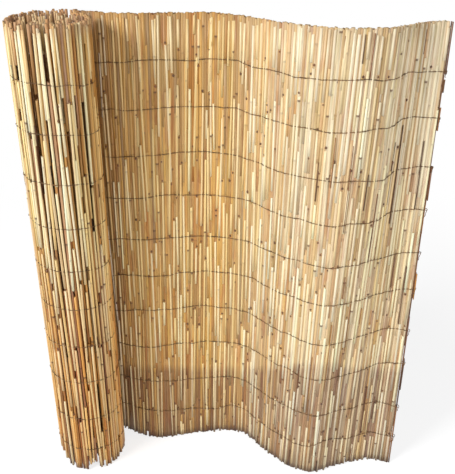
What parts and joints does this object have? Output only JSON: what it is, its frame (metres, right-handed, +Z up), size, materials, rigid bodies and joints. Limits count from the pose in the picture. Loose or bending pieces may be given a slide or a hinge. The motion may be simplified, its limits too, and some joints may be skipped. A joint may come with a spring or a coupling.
{
  "type": "reed fence panel",
  "caption": "Standing screen of thin reeds bound by rows of wire, with one end wound up in a roll and the rest unrolled in loose folds.",
  "frame": {"origin": "centre of the bounding box at the floor", "axes": "+X to the right along the unrolled stretch seen from the front, +Y to the back, +Z up along the reeds"},
  "size_m": [0.776, 0.1558, 1],
  "materials": {
    "reed": "dry peeled reed, straw to golden brown, slightly glossy",
    "binding_wire": "dark rusted binding wire"
  },
  "bodies": {
    "root": {"reed_mat": "reed", "wire_row_01": "binding_wire", "wire_row_02": "binding_wire", "wire_row_03": "binding_wire", "wire_row_04": "binding_wire", "wire_row_05": "binding_wire", "wire_row_06": "binding_wire", "wire_row_07": "binding_wire", "wire_row_08": "binding_wire", "wire_row_09": "binding_wire", "wire_row_10": "binding_wire"}
  },
  "joints": []
}
